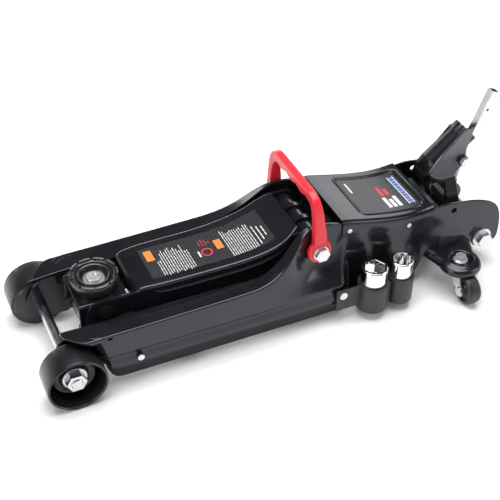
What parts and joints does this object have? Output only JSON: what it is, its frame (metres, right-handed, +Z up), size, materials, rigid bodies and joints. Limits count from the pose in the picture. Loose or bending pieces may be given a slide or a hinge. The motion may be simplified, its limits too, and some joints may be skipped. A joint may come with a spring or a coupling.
{
  "type": "hydraulic floor jack",
  "caption": "Low-profile trolley floor jack with pressed steel frame, lift arm, turning saddle, hydraulic unit, handle socket, carry handle and socket tray.",
  "frame": {"origin": "on the floor under the middle of the front axle", "axes": "+X towards the handle end, +Y towards the side without the socket tray, +Z up"},
  "size_m": [0.6471, 0.2774, 0.2381],
  "materials": {
    "black_enamel": "gloss",
    "wheel_black": "satin",
    "black_casting": "gloss",
    "zinc_steel": "satin",
    "ground_steel": "polished",
    "chrome": "polished",
    "red_plastic": "satin",
    "black_plastic": "matte",
    "caster_black": "satin",
    "seal_rubber": "matte"
  },
  "bodies": {
    "chassis": {"side_plate_left": "black_enamel", "side_plate_right": "black_enamel", "front_cross_tube": "black_enamel", "front_axle": "zinc_steel", "axle_washers": "zinc_steel", "axle_nuts": "zinc_steel", "main_pivot_shaft": "ground_steel", "carry_handle_bolts": "zinc_steel", "levelling_anchor_pins": "ground_steel", "hydraulic_base": "black_casting", "ram_cylinder": "ground_steel", "reservoir_tube": "black_casting", "cylinder_head": "black_casting", "filler_plug": "seal_rubber", "pump_gland": "ground_steel", "unit_cross_rods": "zinc_steel", "joint_hood": "seal_rubber", "socket_pivot_bolts": "zinc_steel", "caster_bracket_left": "black_enamel", "caster_bracket_right": "black_enamel", "caster_king_bolts": "zinc_steel", "unit_cover": "black_enamel", "cover_rivets": "zinc_steel", "socket_tray": "black_plastic", "body_screws": "zinc_steel"},
    "front_wheel_left": {"front_wheel_left": "wheel_black"},
    "front_wheel_right": {"front_wheel_right": "wheel_black"},
    "lift_arm": {"lift_arm": "black_enamel", "heel_pin": "ground_steel", "saddle_pivot_pins": "ground_steel"},
    "saddle_bracket": {"saddle_bracket": "black_enamel", "levelling_pin": "ground_steel", "saddle_screw": "zinc_steel"},
    "saddle": {"saddle": "black_casting"},
    "levelling_rods": {"levelling_rod_left": "black_casting", "levelling_rod_right": "black_casting"},
    "ram": {"ram_piston": "ground_steel", "piston_seal": "seal_rubber", "ram_yoke": "black_casting"},
    "carry_handle": {"carry_handle": "red_plastic"},
    "handle_socket": {"handle_socket": "black_casting", "handle_clamp_screw": "zinc_steel", "roller_pin": "ground_steel"},
    "pump_roller": {"pump_roller": "ground_steel"},
    "pump_plunger": {"pump_plunger": "ground_steel"},
    "universal_joint": {"universal_cross": "ground_steel"},
    "release_rod": {"release_rod": "zinc_steel"},
    "release_valve": {"release_valve": "black_casting"},
    "caster_fork_left": {"caster_fork_left": "zinc_steel", "caster_axle_left": "zinc_steel"},
    "caster_fork_right": {"caster_fork_right": "zinc_steel", "caster_axle_right": "zinc_steel"},
    "caster_wheel_left": {"caster_wheel_left": "caster_black"},
    "caster_wheel_right": {"caster_wheel_right": "caster_black"},
    "hex_socket": {"hex_socket": "chrome"},
    "twelve_point_socket": {"twelve_point_socket": "chrome"}
  },
  "joints": [
    {"name": "front_wheel_left_spin", "type": "hinge", "parent": "chassis", "child": "front_wheel_left", "pos_m": [0, -0.0795, 0.037], "axis": [0, 1, 0], "continuous": true},
    {"name": "front_wheel_right_spin", "type": "hinge", "parent": "chassis", "child": "front_wheel_right", "pos_m": [0, 0.0795, 0.037], "axis": [0, 1, 0], "continuous": true},
    {"name": "arm_lift", "type": "hinge", "parent": "chassis", "child": "lift_arm", "pos_m": [0.327, 0, 0.1075], "axis": [0, 1, 0], "range_deg": [0, 60]},
    {"name": "saddle_level", "type": "hinge", "parent": "lift_arm", "child": "saddle_bracket", "pos_m": [0.057, 0, 0.084], "axis": [0, 1, 0], "range_deg": [-60, 0]},
    {"name": "saddle_swivel", "type": "hinge", "parent": "saddle_bracket", "child": "saddle", "pos_m": [0.0562, 0, 0.104], "axis": [0, 0, 1], "continuous": true},
    {"name": "levelling_rod_swing", "type": "hinge", "parent": "chassis", "child": "levelling_rods", "pos_m": [0.305, 0, 0.0795], "axis": [0, 1, 0], "range_deg": [0, 60]},
    {"name": "ram_extend", "type": "slide", "parent": "chassis", "child": "ram", "axis": [-1, 0, 0], "range_m": [0, 0.0421]},
    {"name": "carry_handle_fold", "type": "hinge", "parent": "chassis", "child": "carry_handle", "pos_m": [0.327, 0, 0.1075], "axis": [0, 1, 0], "range_deg": [0, 60]},
    {"name": "socket_pump", "type": "hinge", "parent": "chassis", "child": "handle_socket", "pos_m": [0.583, 0, 0.041], "axis": [0, 1, 0], "range_deg": [0, 40]},
    {"name": "pump_roller_spin", "type": "hinge", "parent": "handle_socket", "child": "pump_roller", "pos_m": [0.589, 0, 0.022], "axis": [0, 1, 0], "continuous": true},
    {"name": "pump_stroke", "type": "slide", "parent": "chassis", "child": "pump_plunger", "axis": [-1, 0, 0], "range_m": [0, 0.0138]},
    {"name": "release_rod_tilt", "type": "hinge", "parent": "chassis", "child": "universal_joint", "pos_m": [0.552, 0, 0.098], "axis": [0, 1, 0], "range_deg": [0, 47]},
    {"name": "release_rod_turn", "type": "hinge", "parent": "universal_joint", "child": "release_rod", "pos_m": [0.552, 0, 0.098], "axis": [0.3556, 0, 0.9346], "range_deg": [0, 180]},
    {"name": "release_valve_turn", "type": "hinge", "parent": "chassis", "child": "release_valve", "pos_m": [0.552, 0, 0.08], "axis": [0, 0, 1], "range_deg": [0, 180]},
    {"name": "caster_left_swivel", "type": "hinge", "parent": "chassis", "child": "caster_fork_left", "pos_m": [0.5232, -0.0937, 0.044], "axis": [0, 0, 1], "continuous": true},
    {"name": "caster_right_swivel", "type": "hinge", "parent": "chassis", "child": "caster_fork_right", "pos_m": [0.5232, 0.0937, 0.044], "axis": [0, 0, 1], "continuous": true},
    {"name": "caster_left_roll", "type": "hinge", "parent": "caster_fork_left", "child": "caster_wheel_left", "pos_m": [0.5232, -0.1187, 0.02], "axis": [1, 0, 0], "continuous": true},
    {"name": "caster_right_roll", "type": "hinge", "parent": "caster_fork_right", "child": "caster_wheel_right", "pos_m": [0.5232, 0.1187, 0.02], "axis": [1, 0, 0], "continuous": true},
    {"name": "hex_socket_lift", "type": "slide", "parent": "chassis", "child": "hex_socket", "axis": [0, 0, 1], "range_m": [0, 0.06]},
    {"name": "twelve_point_socket_lift", "type": "slide", "parent": "chassis", "child": "twelve_point_socket", "axis": [0, 0, 1], "range_m": [0, 0.06]}
  ],
  "couplings": [
    {"joint": "saddle_level", "follows": "arm_lift", "ratio": -1},
    {"joint": "levelling_rod_swing", "follows": "arm_lift", "ratio": 1},
    {"joint": "ram_extend", "follows": "arm_lift", "m_per_rad": 0.040107},
    {"joint": "pump_stroke", "follows": "socket_pump", "m_per_rad": 0.019687},
    {"joint": "release_rod_tilt", "follows": "socket_pump", "ratio": 1.17},
    {"joint": "release_valve_turn", "follows": "release_rod_turn", "ratio": 1}
  ]
}
